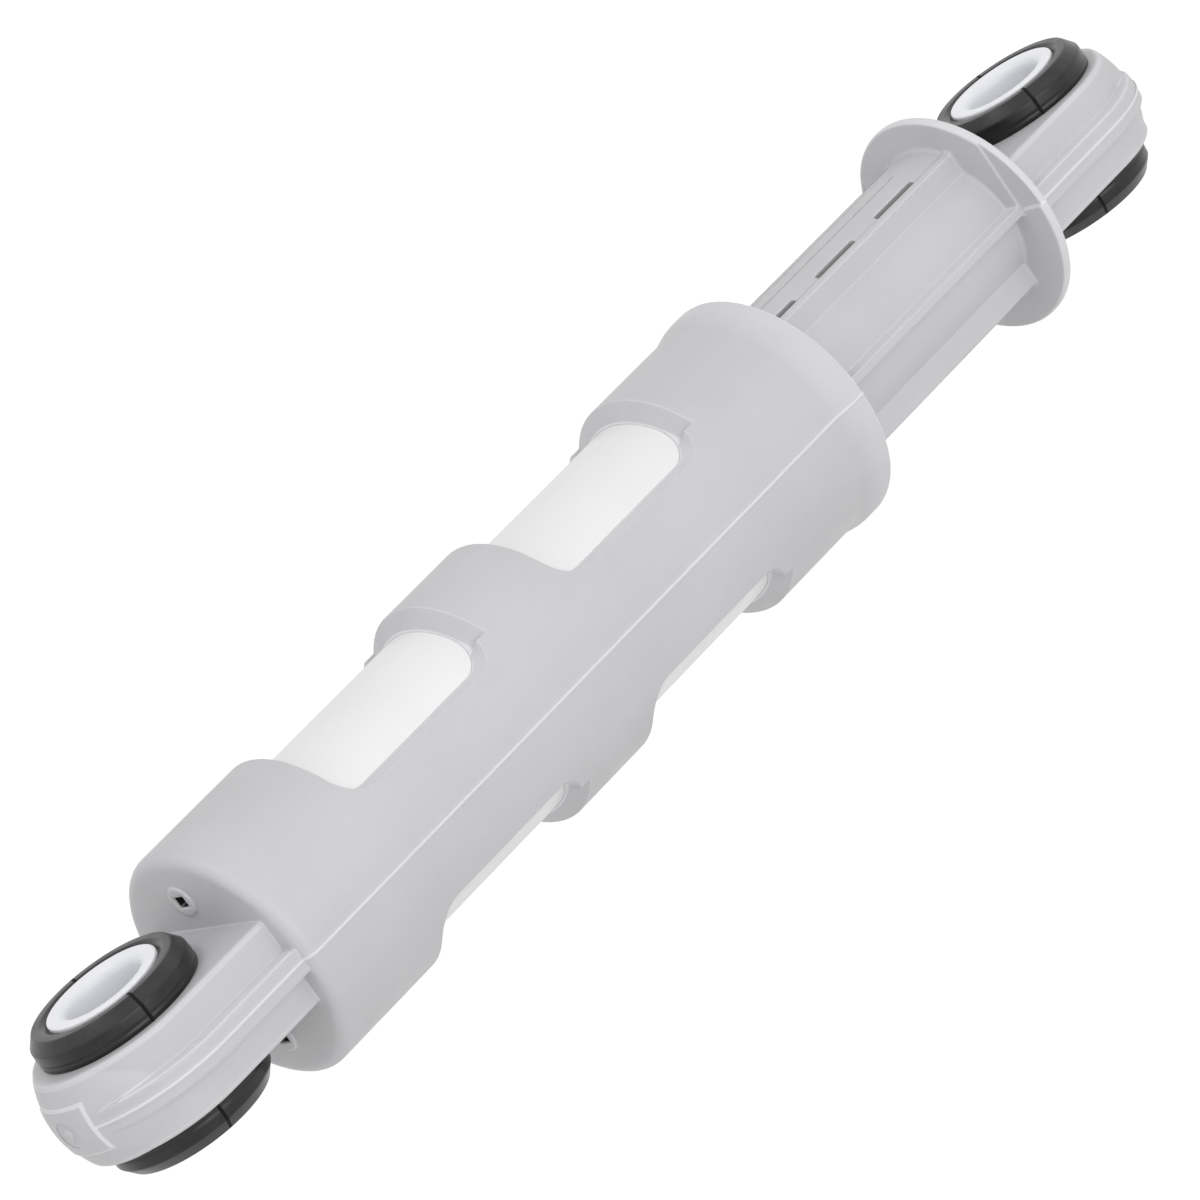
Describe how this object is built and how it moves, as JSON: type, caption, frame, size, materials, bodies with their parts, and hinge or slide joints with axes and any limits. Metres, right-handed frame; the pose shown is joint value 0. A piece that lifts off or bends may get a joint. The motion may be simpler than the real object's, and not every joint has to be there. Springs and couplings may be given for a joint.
{
  "type": "washing machine shock absorber",
  "caption": "Telescopic friction damper: windowed grey housing round a white tube, ribbed plunger with a flange, and a rubber bushed eye at each end",
  "frame": {"origin": "centre of the bore in the housing's eye", "axes": "+X along the damper from the housing's eye to the plunger's eye, +Z along the axis of both eye bores, +Y completes the right hand"},
  "size_m": [0.2584, 0.0424, 0.042],
  "materials": {
    "grey_plastic": "satin moulded light grey plastic",
    "white_tube": "smooth white plastic",
    "sleeve_plastic": "smooth white bearing plastic",
    "bush_rubber": "moulded black rubber",
    "lining": "greased felt strip"
  },
  "bodies": {
    "base_sleeve": {"housing_bush_sleeve": "sleeve_plastic"},
    "barrel": {"housing": "grey_plastic", "cylinder_tube": "white_tube", "housing_bush_rubber": "bush_rubber"},
    "slider": {"friction_lining": "lining"},
    "rod": {"plunger": "grey_plastic", "plunger_bush_rubber": "bush_rubber"},
    "tub_sleeve": {"plunger_bush_sleeve": "sleeve_plastic"}
  },
  "joints": [
    {"name": "housing_bush_twist", "type": "hinge", "parent": "base_sleeve", "child": "barrel", "pos_m": [0, 0, 0], "axis": [0, 0, 1], "range_deg": [-15, 15], "stiffness_Nm_per_rad": 1.5},
    {"name": "damper_slide", "type": "slide", "parent": "barrel", "child": "slider", "axis": [1, 0, 0], "range_m": [-0.0475, 0.032]},
    {"name": "plunger_turn", "type": "hinge", "parent": "slider", "child": "rod", "pos_m": [0.095, 0, 0], "axis": [1, 0, 0], "continuous": true},
    {"name": "plunger_bush_twist", "type": "hinge", "parent": "rod", "child": "tub_sleeve", "pos_m": [0.2224, 0, 0], "axis": [0, 0, 1], "range_deg": [-15, 15], "stiffness_Nm_per_rad": 1.5}
  ]
}
